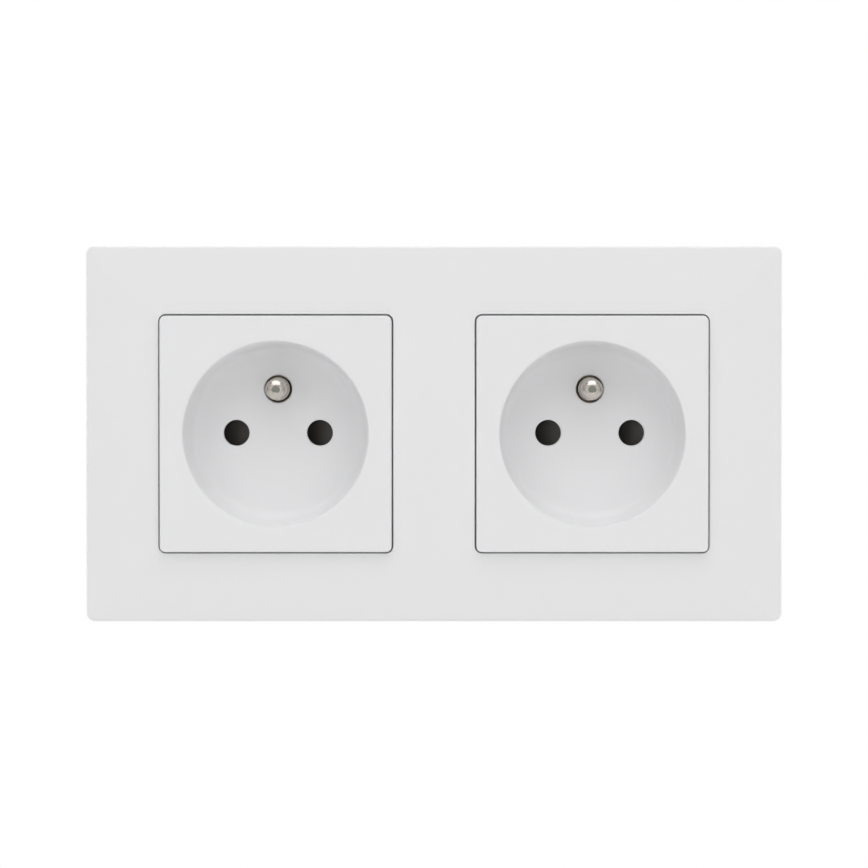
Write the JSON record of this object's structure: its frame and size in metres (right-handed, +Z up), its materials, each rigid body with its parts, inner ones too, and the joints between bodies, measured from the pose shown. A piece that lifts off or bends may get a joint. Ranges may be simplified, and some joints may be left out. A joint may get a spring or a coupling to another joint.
{
  "type": "double socket outlet",
  "caption": "Flush-mount wall outlet with two round plug wells side by side in a pillow-shaped frame, each with shuttered pin holes and an earth pin.",
  "frame": {"origin": "centre of the plate on the wall plane, at the middle of the box-screw pattern", "axes": "+X to the right seen from the room, +Y into the wall, +Z up"},
  "size_m": [0.1564, 0.0384, 0.0844],
  "materials": {
    "frame_plastic": "white moulded plastic, smooth gloss",
    "cover_plastic": "white moulded plastic, smooth gloss",
    "shutter_plastic": "charcoal moulded plastic",
    "carrier_plastic": "charcoal moulded plastic",
    "base_plastic": "light grey moulded plastic, fine matte grain",
    "yoke_steel": "zinc-plated sheet steel",
    "contact_bronze": "phosphor bronze strip",
    "pin_nickel": "nickel plating, warm grey",
    "terminal_steel": "plated steel",
    "screw_steel": "yellow-passivated steel",
    "spring_steel": "drawn spring wire"
  },
  "bodies": {
    "outlet": {"cover_frame": "frame_plastic", "left_socket_cover": "cover_plastic", "left_shutter_spring": "spring_steel", "left_shutter_carrier": "carrier_plastic", "left_socket_base": "base_plastic", "left_mounting_yoke": "yoke_steel", "left_live_contact": "contact_bronze", "left_neutral_contact": "contact_bronze", "left_earth_pin": "pin_nickel", "left_earth_strap": "contact_bronze", "left_live_terminal": "terminal_steel", "left_neutral_terminal": "terminal_steel", "left_earth_terminal": "terminal_steel", "left_terminal_screws": "screw_steel", "right_socket_cover": "cover_plastic", "right_shutter_spring": "spring_steel", "right_shutter_carrier": "carrier_plastic", "right_socket_base": "base_plastic", "right_mounting_yoke": "yoke_steel", "right_live_contact": "contact_bronze", "right_neutral_contact": "contact_bronze", "right_earth_pin": "pin_nickel", "right_earth_strap": "contact_bronze", "right_live_terminal": "terminal_steel", "right_neutral_terminal": "terminal_steel", "right_earth_terminal": "terminal_steel", "right_terminal_screws": "screw_steel"},
    "left_shutter": {"left_shutter": "shutter_plastic"},
    "right_shutter": {"right_shutter": "shutter_plastic"}
  },
  "joints": [
    {"name": "left_shutter_slide", "type": "slide", "parent": "outlet", "child": "left_shutter", "axis": [1, 0, 0], "range_m": [0, 0.0062], "stiffness_N_per_m": 150, "springref_m": -0.004, "deforming": ["left_shutter_spring"]},
    {"name": "right_shutter_slide", "type": "slide", "parent": "outlet", "child": "right_shutter", "axis": [1, 0, 0], "range_m": [0, 0.0062], "stiffness_N_per_m": 150, "springref_m": -0.004, "deforming": ["right_shutter_spring"]}
  ]
}
